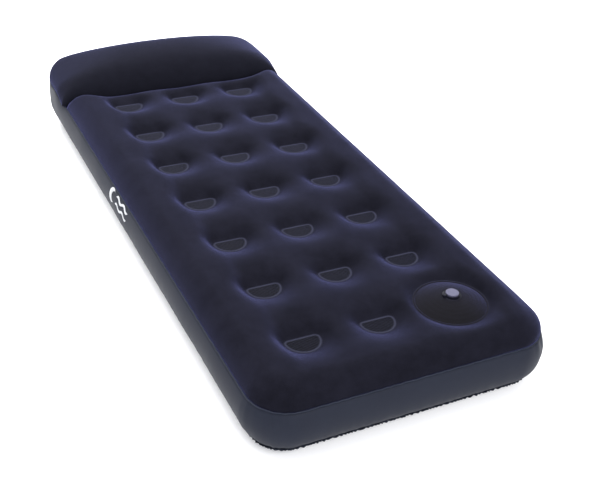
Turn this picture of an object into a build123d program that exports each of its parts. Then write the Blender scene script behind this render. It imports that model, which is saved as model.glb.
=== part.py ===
"""Single flocked air mattress with a raised pillow, a built-in foot pump and a screw-out deflation valve.

Millimetres. The mattress lies on its underside at z = 0, with the head at +Y, the foot at -Y and +Z up.
The origin is the middle of the underside.
"""

import math
import os

from build123d import *

os.makedirs("parts", exist_ok=True)

# ---------------------------------------------------------------- driving dimensions
# casing
WIDTH = 760.0
LENGTH = 1850.0
BODY_HEIGHT = 195.0
PILLOW_HEIGHT = 250.0
CORNER_RADIUS = 105.0
SIDE_ROUNDING = 86.0  # the inflated band is this round, from the floor to the top seam
TOP_ROUNDING = 60.0
SHEET = 2.0  # sheet thickness

# seams
TOP_SEAM_Z = 133.0  # side band meets the flocked sheets
TOP_SEAM_INSET = 14.0
BOTTOM_SEAM_Z = 16.0  # side band meets the bottom sheet
BOTTOM_SEAM_THICKNESS = 2.0
BOTTOM_SEAM_OUTER_INSET = 29.0
BOTTOM_SEAM_INNER_INSET = 41.0
SEAM_TAPE_REACH = 6.0  # how far the inner tape covers each side of the top seam
SEAM_TAPE_THICKNESS = 1.5

# crease between the sleeping surface and the pillow
CREASE_Y = 662.0
CREASE_WIDTH = 10.0
CREASE_HEIGHT = 6.0
BAFFLE_THICKNESS = 2.0
BAFFLE_HOLE_RADIUS = 25.0
BAFFLE_HOLE_Z = 70.0
BAFFLE_HOLE_PITCH = 170.0

# pillow: overhangs the seam, then arches up to the crown on every side
PILLOW_WIDEST_Z = 155.0
PILLOW_UNDERCUT = 27.0
PILLOW_FRONT_RADIUS = 110.0
PILLOW_REAR_RADIUS = 80.0
PILLOW_SIDE_RADIUS = 300.0

# coil beams and the D-shaped wells that they hold down
COLUMN_PITCH = 188.0
ROW_PITCH = 215.0
FIRST_ROW_Y = 555.0
COLUMNS = 3
ROWS = 7
D_WIDTH = 80.0
D_DEPTH = 50.0
D_CORNER = 8.0
D_FLAT_Y = 22.0  # the flat side faces the head
TOP_WELL_Z = 152.0
BOTTOM_WELL_Z = 50.0
WELL_TAPER = 30.0  # degrees from vertical
COIL_WALL = 1.5
COIL_FLANGE = 6.0

# foot pump, which takes the place of the last coil beam of the right-hand column
PUMP_X = COLUMN_PITCH
PUMP_Y = FIRST_ROW_Y - (ROWS - 1) * ROW_PITCH
PUMP_RADIUS = 86.0
PUMP_RIM_Z = 165.0
PUMP_RIM_LIP = 2.0
DOME_RADIUS = 84.0
DOME_RISE = 22.0
DOME_HOLE_RADIUS = 14.0
PUMP_WALL_THICKNESS = 1.5
FOAM_RADIUS = 78.0
FOAM_TOP_Z = 150.0
PUMP_PATCH_THICKNESS = 2.0
SEAT_TOP_Z = 191.0
SEAT_BORE_RADIUS = 10.3
SEAT_COLLAR_RADIUS = 18.5
PLUG_HEAD_RADIUS = 15.5
PLUG_HINGE_REACH = 23.0
PLUG_HINGE_Z = 192.3
OUTLET_Z = 60.0
OUTLET_TUBE_RADIUS = 11.8
OUTLET_BORE_RADIUS = 8.0

# deflation valve on the right-hand wall, near the foot
VALVE_Y = -560.0
VALVE_Z = SIDE_ROUNDING
VALVE_FLANGE_RADIUS = 34.0
VALVE_BARREL_RADIUS = 22.0
VALVE_BARREL_BORE = 18.0
VALVE_FLANGE_THICKNESS = 2.0
VALVE_BARREL_OUT = 6.0
VALVE_BARREL_IN = 14.0
INSERT_RADIUS = 17.7
INSERT_IN = 9.0
NOZZLE_RADIUS = 8.5
CAP_SEAT_RADIUS = 12.5
INSERT_HEAD_FROM = 7.8
INSERT_HEAD_TO = 10.5
LEASH_INNER_RADIUS = 22.4
LEASH_OUTER_RADIUS = 26.0
CAP_RADIUS = 15.0
CAP_HINGE_REACH = 19.5
CAP_HINGE_OUT = 11.6

GAP = 0.3  # between parts that move against each other

VALVE_PLANE = Plane(origin=(WIDTH / 2, VALVE_Y, VALVE_Z), x_dir=(0, 1, 0), z_dir=(1, 0, 0))
LOW = (Align.CENTER, Align.CENTER, Align.MIN)


def save(builder, name):
    """Labels a finished piece and writes its STEP file."""
    builder.part.label = name
    export_step(builder.part, f"parts/{name}.step")


# ---------------------------------------------------------------- shared shapes
def lower_casing(inset):
    """The casing up to the top seam as a solid with full-round sides, all faces moved in by inset."""
    with BuildPart() as block:
        with BuildSketch(Plane.XY.offset(inset)):
            RectangleRounded(WIDTH - 2 * inset, LENGTH - 2 * inset, CORNER_RADIUS - inset)
        extrude(amount=2 * (SIDE_ROUNDING - inset))
        rims = block.faces().sort_by(Axis.Z)[0].edges() + block.faces().sort_by(Axis.Z)[-1].edges()
        fillet(rims, SIDE_ROUNDING - inset - 0.1)
        split(bisect_by=Plane.XY.offset(TOP_SEAM_Z), keep=Keep.BOTTOM)
    return block.part


def upper_casing(inset):
    """The sleeping surface above the top seam as a solid, rounded over on all four sides."""
    foot = -LENGTH / 2 + TOP_SEAM_INSET + inset
    head = CREASE_Y - CREASE_WIDTH / 2 - inset
    half = WIDTH / 2 - TOP_SEAM_INSET - inset
    with BuildPart() as block:
        with BuildSketch(Plane.XY.offset(TOP_SEAM_Z)) as plan:
            with Locations((0, (foot + head) / 2)):
                Rectangle(2 * half, head - foot)
            fillet(plan.vertices().group_by(Axis.Y)[0], CORNER_RADIUS - TOP_SEAM_INSET - inset)
        extrude(amount=BODY_HEIGHT - inset - TOP_SEAM_Z)
        fillet(block.faces().sort_by(Axis.Z)[-1].edges(), TOP_ROUNDING - inset)
    return block.part


def pillow_casing(inset):
    """The pillow above the top seam as a solid: an undercut block crossed with two arches."""
    crown = PILLOW_HEIGHT - inset
    rise = crown - PILLOW_WIDEST_Z
    front_rise = crown - TOP_SEAM_Z - CREASE_HEIGHT
    front = CREASE_Y + CREASE_WIDTH / 2 + inset
    rear = LENGTH / 2 - inset
    half = WIDTH / 2 - inset
    front_radius = PILLOW_FRONT_RADIUS - inset
    rear_radius = PILLOW_REAR_RADIUS - inset
    side_radius = PILLOW_SIDE_RADIUS - inset
    undercut = PILLOW_UNDERCUT - inset
    with BuildPart() as block:
        with BuildSketch(Plane.XY.offset(PILLOW_WIDEST_Z - undercut)):
            RectangleRounded(WIDTH - 2 * inset, LENGTH - 2 * inset, CORNER_RADIUS - inset)
        extrude(amount=PILLOW_HEIGHT)
        fillet(block.faces().sort_by(Axis.Z)[0].edges(), undercut)
        with BuildSketch(Plane.YZ.offset(-half)):
            with BuildLine():
                Polyline(
                    (front, crown - front_rise),
                    (front, TOP_SEAM_Z),
                    (rear, TOP_SEAM_Z),
                    (rear, PILLOW_WIDEST_Z),
                )
                EllipticalCenterArc((rear - rear_radius, PILLOW_WIDEST_Z), rear_radius, rise, 0)
                Line((rear - rear_radius, crown), (front + front_radius, crown))
                EllipticalCenterArc(
                    (front + front_radius, crown - front_rise), front_radius, front_rise, 90
                )
            make_face()
        extrude(amount=2 * half, mode=Mode.INTERSECT)
        with BuildSketch(Plane.XZ.offset(-rear)):
            with BuildLine():
                Polyline(
                    (-half, PILLOW_WIDEST_Z),
                    (-half, TOP_SEAM_Z),
                    (half, TOP_SEAM_Z),
                    (half, PILLOW_WIDEST_Z),
                )
                EllipticalCenterArc((half - side_radius, PILLOW_WIDEST_Z), side_radius, rise, 0)
                Line((half - side_radius, crown), (side_radius - half, crown))
                EllipticalCenterArc((side_radius - half, PILLOW_WIDEST_Z), side_radius, rise, 90)
            make_face()
        extrude(amount=rear - front, mode=Mode.INTERSECT)
    return block.part


def d_sketch(plane, grow):
    """The weld outline: flat towards the head, round towards the foot, grown outward by grow."""
    with BuildSketch(plane) as outline:
        with BuildLine():
            Line((-D_WIDTH / 2, D_FLAT_Y), (D_WIDTH / 2, D_FLAT_Y))
            ThreePointArc(
                (D_WIDTH / 2, D_FLAT_Y), (0, D_FLAT_Y - D_DEPTH), (-D_WIDTH / 2, D_FLAT_Y)
            )
        make_face()
        fillet(outline.vertices(), D_CORNER)
        if grow:
            offset(amount=grow)
    return outline.sketch


def well(x, y, z, grow, height):
    """A tapered D-shaped pocket as a solid, widening from the weld plane z over height, down if negative."""
    direction = 1 if height > 0 else -1
    plane = Plane(origin=(x, y, z))
    with BuildPart() as pocket:
        extrude(d_sketch(plane, grow), amount=abs(height), dir=(0, 0, direction), taper=-WELL_TAPER)
    return pocket.part


def beam_places():
    """Row, column and centre of each coil beam; the pump stands in the last place."""
    places = []
    for row in range(ROWS):
        for column in range(COLUMNS):
            x = (column - (COLUMNS - 1) / 2) * COLUMN_PITCH
            y = FIRST_ROW_Y - row * ROW_PITCH
            if (x, y) != (PUMP_X, PUMP_Y):
                places.append((row + 1, column + 1, x, y))
    return places


PLACES = beam_places()

# ---------------------------------------------------------------- casing
# the vinyl wall is four strips joined end to end; the right-hand one has the valve's hole
with BuildPart() as band:
    add(lower_casing(0))
    add(lower_casing(SHEET), mode=Mode.SUBTRACT)
    split(bisect_by=Plane.XY.offset(BOTTOM_SEAM_Z + BOTTOM_SEAM_THICKNESS / 2), keep=Keep.TOP)
    with BuildSketch(VALVE_PLANE):
        Circle(VALVE_BARREL_RADIUS)
    extrude(amount=-4 * SHEET, mode=Mode.SUBTRACT)

SIDE_LENGTH = LENGTH - 2 * CORNER_RADIUS
END_Y = (LENGTH - CORNER_RADIUS) / 2
BAND_STRIPS = {
    "side_band_left": (-WIDTH / 4, 0, WIDTH / 2, SIDE_LENGTH),
    "side_band_right": (WIDTH / 4, 0, WIDTH / 2, SIDE_LENGTH),
    "side_band_head": (0, END_Y, WIDTH, CORNER_RADIUS),
    "side_band_foot": (0, -END_Y, WIDTH, CORNER_RADIUS),
}
for name, (x, y, across, along) in BAND_STRIPS.items():
    with BuildPart() as strip:
        add(band.part)
        with Locations((x, y, 0)):
            Box(across, along, TOP_SEAM_Z, align=LOW, mode=Mode.INTERSECT)
    save(strip, name)

# bottom_sheet: flat underside with a well under each coil beam
with BuildPart() as bottom_sheet:
    add(lower_casing(0))
    add(lower_casing(SHEET), mode=Mode.SUBTRACT)
    split(bisect_by=Plane.XY.offset(BOTTOM_SEAM_Z - BOTTOM_SEAM_THICKNESS / 2), keep=Keep.BOTTOM)
    for _, _, x, y in PLACES:
        add(well(x, y, BOTTOM_WELL_Z + SHEET, SHEET, -BOTTOM_WELL_Z - SHEET))
    for _, _, x, y in PLACES:
        add(well(x, y, BOTTOM_WELL_Z, 0, -BOTTOM_WELL_Z), mode=Mode.SUBTRACT)
save(bottom_sheet, "bottom_sheet")

# bottom_seam: the lip where the band and the bottom sheet are welded together
with BuildPart() as bottom_seam:
    with BuildSketch(Plane.XY.offset(BOTTOM_SEAM_Z - BOTTOM_SEAM_THICKNESS / 2)):
        for inset, mode in (
            (BOTTOM_SEAM_OUTER_INSET, Mode.ADD),
            (BOTTOM_SEAM_INNER_INSET, Mode.SUBTRACT),
        ):
            RectangleRounded(
                WIDTH - 2 * inset, LENGTH - 2 * inset, CORNER_RADIUS - inset, mode=mode
            )
    extrude(amount=BOTTOM_SEAM_THICKNESS)
save(bottom_seam, "bottom_seam")

# top_sheet: the flocked sleeping surface, with its D wells and the cup round the foot pump
with BuildPart() as top_sheet_inside:
    add(upper_casing(SHEET))
    for _, _, x, y in PLACES:
        add(well(x, y, TOP_WELL_Z - SHEET, SHEET, BODY_HEIGHT), mode=Mode.SUBTRACT)
    cup_depth = BODY_HEIGHT - PUMP_RIM_Z
    cup_flare = cup_depth * math.tan(math.radians(WELL_TAPER))
    with Locations((PUMP_X, PUMP_Y, PUMP_RIM_Z)):
        Cone(
            PUMP_RADIUS + SHEET,
            PUMP_RADIUS + SHEET + cup_flare,
            cup_depth,
            align=LOW,
            mode=Mode.SUBTRACT,
        )

with BuildPart() as top_sheet:
    add(upper_casing(0))
    for _, _, x, y in PLACES:
        add(well(x, y, TOP_WELL_Z, 0, BODY_HEIGHT), mode=Mode.SUBTRACT)
    with Locations((PUMP_X, PUMP_Y, PUMP_RIM_Z)):
        Cone(
            PUMP_RADIUS,
            PUMP_RADIUS + cup_flare,
            cup_depth,
            align=LOW,
            mode=Mode.SUBTRACT,
        )
    add(top_sheet_inside.part, mode=Mode.SUBTRACT)
save(top_sheet, "top_sheet")

# pillow_sheet: the second flocked sheet, inflated higher than the sleeping surface
with BuildPart() as pillow_sheet:
    add(pillow_casing(0))
    add(pillow_casing(SHEET), mode=Mode.SUBTRACT)
save(pillow_sheet, "pillow_sheet")

# pillow_seam: the weld bar across the crease, on top of the baffle
with BuildPart() as pillow_seam:
    with Locations((0, CREASE_Y, TOP_SEAM_Z)):
        Box(
            WIDTH - 2 * TOP_SEAM_INSET,
            CREASE_WIDTH,
            CREASE_HEIGHT,
            align=LOW,
        )
save(pillow_seam, "pillow_seam")

# top_seam: the inner tape that joins the band to the flocked sheets, open at the crease
SEAM_TAPE_INSET = TOP_SEAM_INSET + SHEET + 0.5
with BuildPart() as top_seam:
    with BuildSketch(Plane.XY.offset(TOP_SEAM_Z - SEAM_TAPE_REACH)):
        for inset, mode in (
            (SEAM_TAPE_INSET, Mode.ADD),
            (SEAM_TAPE_INSET + SEAM_TAPE_THICKNESS, Mode.SUBTRACT),
        ):
            RectangleRounded(
                WIDTH - 2 * inset, LENGTH - 2 * inset, CORNER_RADIUS - inset, mode=mode
            )
    extrude(amount=2 * SEAM_TAPE_REACH)
    with Locations((0, CREASE_Y, TOP_SEAM_Z)):
        Box(WIDTH, CREASE_WIDTH + 4 * SHEET, 4 * SEAM_TAPE_REACH, mode=Mode.SUBTRACT)
save(top_seam, "top_seam")

# pillow_baffle: the upright web that ties the crease to the bottom sheet, with air holes
with BuildPart() as pillow_baffle:
    add(lower_casing(SHEET))
    with Locations((0, CREASE_Y, 0)):
        Box(
            WIDTH,
            BAFFLE_THICKNESS,
            TOP_SEAM_Z,
            align=LOW,
            mode=Mode.INTERSECT,
        )
    add(bottom_seam.part, mode=Mode.SUBTRACT)
    with BuildSketch(Plane.XZ.offset(-CREASE_Y - BAFFLE_THICKNESS)):
        with Locations((0, BAFFLE_HOLE_Z)):
            with GridLocations(BAFFLE_HOLE_PITCH, 1, 4, 1):
                Circle(BAFFLE_HOLE_RADIUS)
    extrude(amount=2 * BAFFLE_THICKNESS, mode=Mode.SUBTRACT)
save(pillow_baffle, "pillow_baffle")

# ---------------------------------------------------------------- coil beams
# each is a D-section tube with a weld flange at each end
LOW_FACE_Z = BOTTOM_WELL_Z + SHEET
HIGH_FACE_Z = TOP_WELL_Z - SHEET
for row, column, x, y in PLACES:
    with BuildPart() as coil_beam:
        low = Plane(origin=(x, y, LOW_FACE_Z))
        extrude(d_sketch(low, 0), amount=HIGH_FACE_Z - LOW_FACE_Z)
        extrude(d_sketch(low, COIL_FLANGE), amount=COIL_WALL)
        high = Plane(origin=(x, y, HIGH_FACE_Z - COIL_WALL))
        extrude(d_sketch(high, COIL_FLANGE), amount=COIL_WALL)
        extrude(d_sketch(low, -COIL_WALL), amount=HIGH_FACE_Z - LOW_FACE_Z, mode=Mode.SUBTRACT)
    save(coil_beam, f"coil_beam_r{row}c{column}")

# ---------------------------------------------------------------- foot pump
PUMP_CENTRE = Plane(origin=(PUMP_X, PUMP_Y, 0))


def ring(plane, outer, inner, start, stop):
    """A plain ring between two heights over a plane."""
    with BuildPart() as made:
        with BuildSketch(plane.offset(start)):
            Circle(outer)
            Circle(inner, mode=Mode.SUBTRACT)
        extrude(amount=stop - start)
    return made.part


# pump_rim: the weld ring that joins the cup, the pump wall and the dome
with BuildPart() as pump_rim:
    add(
        ring(
            PUMP_CENTRE,
            PUMP_RADIUS + 2 * PUMP_RIM_LIP,
            DOME_RADIUS + GAP,
            PUMP_RIM_Z - PUMP_RIM_LIP,
            PUMP_RIM_Z,
        )
    )
save(pump_rim, "pump_rim")

# pump_wall: the upright tube of the pump chamber, with the hole for the outlet
with BuildPart() as pump_wall:
    add(
        ring(
            PUMP_CENTRE,
            PUMP_RADIUS + PUMP_RIM_LIP,
            PUMP_RADIUS + PUMP_RIM_LIP - PUMP_WALL_THICKNESS,
            SHEET,
            PUMP_RIM_Z - PUMP_RIM_LIP,
        )
    )
    with BuildSketch(Plane.YZ.offset(PUMP_X)):
        with Locations((PUMP_Y, OUTLET_Z)):
            Circle(OUTLET_TUBE_RADIUS)
    extrude(amount=-2 * PUMP_RADIUS, mode=Mode.SUBTRACT)
save(pump_wall, "pump_wall")

# pump_patch: the reinforcing disc on the bottom sheet, under the foam
with BuildPart() as pump_patch:
    with BuildSketch(Plane(origin=(PUMP_X, PUMP_Y, SHEET))):
        Circle(DOME_RADIUS)
    extrude(amount=PUMP_PATCH_THICKNESS)
save(pump_patch, "pump_patch")

# pump_foam: the open-cell block that springs the dome back up
with BuildPart() as pump_foam:
    foam_base = SHEET + PUMP_PATCH_THICKNESS
    with BuildSketch(Plane(origin=(PUMP_X, PUMP_Y, foam_base))):
        Circle(FOAM_RADIUS)
    extrude(amount=FOAM_TOP_Z - foam_base)
    fillet(pump_foam.faces().sort_by(Axis.Z)[-1].edges(), 20)
save(pump_foam, "pump_foam")

# pump_dome: the shallow dome that the heel presses
DOME_SPHERE = (DOME_RADIUS**2 + DOME_RISE**2) / (2 * DOME_RISE)


def dome_height(radius):
    """Height of the dome's outer face at a distance from its axis."""
    return PUMP_RIM_Z + DOME_RISE - DOME_SPHERE + math.sqrt(DOME_SPHERE**2 - radius**2)


with BuildPart() as pump_dome:
    with BuildSketch(Plane(origin=(PUMP_X, PUMP_Y, 0), x_dir=(1, 0, 0), z_dir=(0, -1, 0))):
        with BuildLine():
            radii = (DOME_HOLE_RADIUS, DOME_RADIUS / 2, DOME_RADIUS)
            outer = [(r, dome_height(r)) for r in radii]
            inner = [(r, z - SHEET) for r, z in outer]
            ThreePointArc(*outer)
            Line(outer[-1], inner[-1])
            ThreePointArc(*reversed(inner))
            Line(inner[0], outer[0])
        make_face()
    revolve(axis=Axis((PUMP_X, PUMP_Y, 0), (0, 0, 1)))
save(pump_dome, "pump_dome")

# pump_seat: the moulded ring in the dome that the plug closes, with a lug for the strap
SEAT_NECK_RADIUS = DOME_HOLE_RADIUS - 0.1
with BuildPart() as pump_seat:
    add(ring(PUMP_CENTRE, SEAT_NECK_RADIUS, SEAT_BORE_RADIUS, SEAT_TOP_Z - 11, SEAT_TOP_Z))
    add(ring(PUMP_CENTRE, SEAT_COLLAR_RADIUS, SEAT_BORE_RADIUS, SEAT_TOP_Z - 11, SEAT_TOP_Z - 9))
    add(ring(PUMP_CENTRE, SEAT_COLLAR_RADIUS, SEAT_BORE_RADIUS, SEAT_TOP_Z - 3, SEAT_TOP_Z))
    with Locations((PUMP_X - SEAT_COLLAR_RADIUS - 2, PUMP_Y, SEAT_TOP_Z - 3)):
        Box(8, 9, 3, align=LOW)
save(pump_seat, "pump_seat")

# pump_plug: the pale push-in plug
with BuildPart() as pump_plug:
    with BuildSketch(PUMP_CENTRE.offset(SEAT_TOP_Z + GAP)):
        Circle(PLUG_HEAD_RADIUS)
    extrude(amount=3.5)
    fillet(pump_plug.faces().sort_by(Axis.Z)[-1].edges(), 1.2)
    with BuildSketch(PUMP_CENTRE.offset(SEAT_TOP_Z + GAP)):
        Circle(SEAT_BORE_RADIUS - GAP)
    extrude(amount=-9, taper=8.2)
save(pump_plug, "pump_plug")

# pump_plug_strap: the short strap that keeps the plug on the pump, with a round end at its hinge
STRAP_THICKNESS = 1.5
with BuildPart() as pump_plug_strap:
    with BuildSketch(Plane(origin=(PUMP_X, PUMP_Y + 3.5, 0), x_dir=(1, 0, 0), z_dir=(0, -1, 0))):
        with Locations((-PLUG_HINGE_REACH, PLUG_HINGE_Z)):
            Circle(STRAP_THICKNESS / 2)
            Rectangle(
                PLUG_HINGE_REACH - PLUG_HEAD_RADIUS + 0.2,
                STRAP_THICKNESS,
                align=(Align.MIN, Align.CENTER),
            )
    extrude(amount=7)
    with BuildSketch(PUMP_CENTRE.offset(SEAT_TOP_Z)):
        Circle(PLUG_HEAD_RADIUS)
    extrude(amount=6, mode=Mode.SUBTRACT)
save(pump_plug_strap, "pump_plug_strap")

# pump_outlet: the short tube from the pump chamber into the mattress
OUTLET_PLANE = Plane(origin=(PUMP_X, PUMP_Y, OUTLET_Z), x_dir=(0, -1, 0), z_dir=(-1, 0, 0))
OUTLET_START = 80.0
OUTLET_STOP = 100.0
PUMP_OUTSIDE = PUMP_RADIUS + PUMP_RIM_LIP
with BuildPart() as pump_outlet:
    tube_radius = OUTLET_TUBE_RADIUS - 0.1
    add(ring(OUTLET_PLANE, tube_radius, OUTLET_BORE_RADIUS, OUTLET_START, OUTLET_STOP))
    add(ring(OUTLET_PLANE, 17, OUTLET_BORE_RADIUS, PUMP_OUTSIDE, PUMP_OUTSIDE + 2))
save(pump_outlet, "pump_outlet")

# pump_outlet_flap: the one-way flap over the tube's far end
with BuildPart() as pump_outlet_flap:
    with BuildSketch(OUTLET_PLANE.offset(OUTLET_STOP + GAP)):
        Circle(9.5)
        with Locations((0, 9.5)):
            Rectangle(8, 3)
    extrude(amount=1)
save(pump_outlet_flap, "pump_outlet_flap")

# ---------------------------------------------------------------- deflation valve
# valve_base: the flange welded on the round wall, with the barrel that the insert screws into
with BuildPart() as valve_base:
    add(lower_casing(-VALVE_FLANGE_THICKNESS))
    add(lower_casing(0), mode=Mode.SUBTRACT)
    with BuildSketch(VALVE_PLANE.offset(-VALVE_FLANGE_RADIUS)):
        Circle(VALVE_FLANGE_RADIUS)
        Circle(VALVE_BARREL_BORE, mode=Mode.SUBTRACT)
    extrude(amount=2 * VALVE_FLANGE_RADIUS, mode=Mode.INTERSECT)
    add(
        ring(
            VALVE_PLANE,
            VALVE_BARREL_RADIUS,
            VALVE_BARREL_BORE,
            -VALVE_BARREL_IN,
            VALVE_BARREL_OUT,
        )
    )
save(valve_base, "valve_base")

# valve_leash: the ring that keeps the unscrewed insert on the mattress
with BuildPart() as valve_leash:
    add(
        ring(
            VALVE_PLANE,
            LEASH_OUTER_RADIUS,
            LEASH_INNER_RADIUS,
            INSERT_HEAD_FROM + GAP,
            INSERT_HEAD_TO - GAP,
        )
    )
save(valve_leash, "valve_leash")

# valve_strap: the bendy strip from the flange to the leash ring
STRAP_FOOT_FROM = 27.0
STRAP_FOOT_TO = 30.0


def flange_height(distance):
    """How far a point just off the flange stands out from the valve plane, above or below its axis."""
    outer = SIDE_ROUNDING + VALVE_FLANGE_THICKNESS
    return math.sqrt(outer**2 - distance**2) - SIDE_ROUNDING + GAP


with BuildPart() as valve_strap:
    side = Plane(origin=(WIDTH / 2, VALVE_Y - 3, VALVE_Z), x_dir=(1, 0, 0), z_dir=(0, -1, 0))
    with BuildSketch(side):
        with BuildLine():
            Polyline(
                (INSERT_HEAD_TO - 2 * GAP, -LEASH_OUTER_RADIUS),
                (flange_height(STRAP_FOOT_TO), -STRAP_FOOT_TO),
                (flange_height(STRAP_FOOT_FROM), -STRAP_FOOT_FROM),
                (INSERT_HEAD_FROM + 2 * GAP, -LEASH_OUTER_RADIUS),
                close=True,
            )
        make_face()
    extrude(amount=-6)
save(valve_strap, "valve_strap")

# valve_insert: screws out to let the air out fast; its bore takes a pump nozzle
with BuildPart() as valve_insert:
    add(ring(VALVE_PLANE, INSERT_RADIUS, NOZZLE_RADIUS, -INSERT_IN, INSERT_HEAD_FROM))
    add(ring(VALVE_PLANE, VALVE_BARREL_RADIUS, NOZZLE_RADIUS, INSERT_HEAD_FROM, INSERT_HEAD_TO))
    with BuildSketch(VALVE_PLANE.offset(INSERT_HEAD_TO)):
        Circle(CAP_SEAT_RADIUS)
    extrude(amount=-7.5, mode=Mode.SUBTRACT)
    with BuildSketch(VALVE_PLANE.offset(INSERT_HEAD_TO)) as grips:
        with PolarLocations(VALVE_BARREL_RADIUS, 12):
            Circle(1.6)
    extrude(amount=INSERT_HEAD_FROM - INSERT_HEAD_TO, mode=Mode.SUBTRACT)
save(valve_insert, "valve_insert")

# valve_gasket: seals the insert's head on the end of the barrel
with BuildPart() as valve_gasket:
    add(
        ring(
            VALVE_PLANE,
            VALVE_BARREL_RADIUS - 2,
            INSERT_RADIUS,
            VALVE_BARREL_OUT + GAP,
            INSERT_HEAD_FROM,
        )
    )
save(valve_gasket, "valve_gasket")

# valve_flap: the one-way flap behind the nozzle bore
with BuildPart() as valve_flap:
    with BuildSketch(VALVE_PLANE.offset(-INSERT_IN - GAP)):
        Circle(9.8)
        with Locations((0, 9.8)):
            Rectangle(8, 3)
    extrude(amount=-1)
save(valve_flap, "valve_flap")

# valve_cap: closes the nozzle bore with a short plug that snaps into the insert
with BuildPart() as valve_cap:
    with BuildSketch(VALVE_PLANE.offset(INSERT_HEAD_TO + GAP)):
        Circle(CAP_RADIUS)
    extrude(amount=2.7)
    fillet(valve_cap.faces().sort_by(Axis.X)[-1].edges(), 1)
    with BuildSketch(VALVE_PLANE.offset(INSERT_HEAD_TO + GAP)):
        Circle(CAP_SEAT_RADIUS - GAP)
    extrude(amount=-5.5, taper=8)
save(valve_cap, "valve_cap")

# valve_cap_strap: the cap's hinge strap, with a round end on the hinge line
with BuildPart() as valve_cap_strap:
    side = Plane(origin=(WIDTH / 2, VALVE_Y + 3, VALVE_Z), x_dir=(1, 0, 0), z_dir=(0, -1, 0))
    with BuildSketch(side):
        with Locations((CAP_HINGE_OUT, CAP_HINGE_REACH)):
            Circle(0.7)
            Rectangle(
                1.4,
                CAP_HINGE_REACH - CAP_RADIUS + 0.3,
                align=(Align.CENTER, Align.MAX),
            )
    extrude(amount=6)
    with BuildSketch(VALVE_PLANE.offset(INSERT_HEAD_TO)):
        Circle(CAP_RADIUS)
    extrude(amount=6, mode=Mode.SUBTRACT)
save(valve_cap_strap, "valve_cap_strap")
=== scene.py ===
"""Looks of the single flocked air mattress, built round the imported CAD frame.

Metres, head at +Y, foot at -Y, +Z up. Each inflated sheet is a height over its plan: rings near its seams,
loops along its welds and an even fill between them.
"""

import math

import bpy
import numpy as np
from mathutils import Matrix, Vector, geometry


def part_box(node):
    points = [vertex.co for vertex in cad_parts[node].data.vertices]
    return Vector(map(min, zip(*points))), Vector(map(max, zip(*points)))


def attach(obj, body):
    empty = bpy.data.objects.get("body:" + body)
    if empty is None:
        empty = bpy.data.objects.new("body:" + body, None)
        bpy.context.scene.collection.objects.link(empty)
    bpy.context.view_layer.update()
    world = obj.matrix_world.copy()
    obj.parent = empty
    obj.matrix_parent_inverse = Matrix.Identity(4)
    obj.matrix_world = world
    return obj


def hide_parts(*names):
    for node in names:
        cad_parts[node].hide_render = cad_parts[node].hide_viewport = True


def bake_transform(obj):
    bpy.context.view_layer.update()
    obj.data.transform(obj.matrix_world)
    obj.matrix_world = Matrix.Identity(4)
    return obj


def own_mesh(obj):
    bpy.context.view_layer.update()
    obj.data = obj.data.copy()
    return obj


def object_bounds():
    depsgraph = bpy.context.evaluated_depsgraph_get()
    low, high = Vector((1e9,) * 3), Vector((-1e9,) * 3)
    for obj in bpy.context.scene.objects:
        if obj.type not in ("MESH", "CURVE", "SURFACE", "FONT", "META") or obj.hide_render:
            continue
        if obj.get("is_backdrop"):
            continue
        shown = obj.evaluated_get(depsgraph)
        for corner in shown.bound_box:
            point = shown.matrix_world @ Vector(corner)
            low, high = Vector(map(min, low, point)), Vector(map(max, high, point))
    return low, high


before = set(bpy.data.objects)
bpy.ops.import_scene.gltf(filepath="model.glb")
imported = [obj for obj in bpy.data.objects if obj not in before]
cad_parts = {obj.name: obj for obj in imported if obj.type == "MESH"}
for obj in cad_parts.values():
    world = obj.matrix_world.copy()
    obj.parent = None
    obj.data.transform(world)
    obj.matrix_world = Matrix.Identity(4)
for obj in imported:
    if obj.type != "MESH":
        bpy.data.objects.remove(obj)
CAD_LOW, CAD_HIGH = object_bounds()

# ---------------------------------------------------------------- places read from the frame
SHEET_LOW, SHEET_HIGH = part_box("top_sheet")
LIP_LOW, LIP_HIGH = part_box("bottom_seam")
RIM_LOW, RIM_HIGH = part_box("pump_rim")
DOME_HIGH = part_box("pump_dome")[1]
FOAM_LOW, FOAM_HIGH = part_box("pump_foam")
VALVE_LOW, VALVE_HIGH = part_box("valve_base")

HALF_WIDTH = -CAD_LOW.x
HALF_LENGTH = -CAD_LOW.y
CORNER = 0.105  # plan radius of the casing's corners
SEAM_Z = SHEET_LOW.z
SEAM_INSET = HALF_WIDTH - SHEET_HIGH.x
SEAM_HALF = SHEET_HIGH.x
FOOT_SEAM_Y = SHEET_LOW.y
CREASE_LOW_Y = SHEET_HIGH.y
CREASE_HIGH_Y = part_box("pillow_sheet")[0].y
SIDE_RADIUS = 0.0865  # the band is a full round of this radius, standing on the floor
LIP_RISE = 0.003  # the ragged lip stands this far above the middle of its CAD weld
LIP_Z = (LIP_LOW.z + LIP_HIGH.z) / 2 + LIP_RISE
PUMP = Vector(((RIM_LOW.x + RIM_HIGH.x) / 2, (RIM_LOW.y + RIM_HIGH.y) / 2, RIM_HIGH.z))
PUMP_RADIUS = 0.086
VALVE = Vector((VALVE_HIGH.x, (VALVE_LOW.y + VALVE_HIGH.y) / 2, (VALVE_LOW.z + VALVE_HIGH.z) / 2))
VALVE_HOLE = 0.0205

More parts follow.
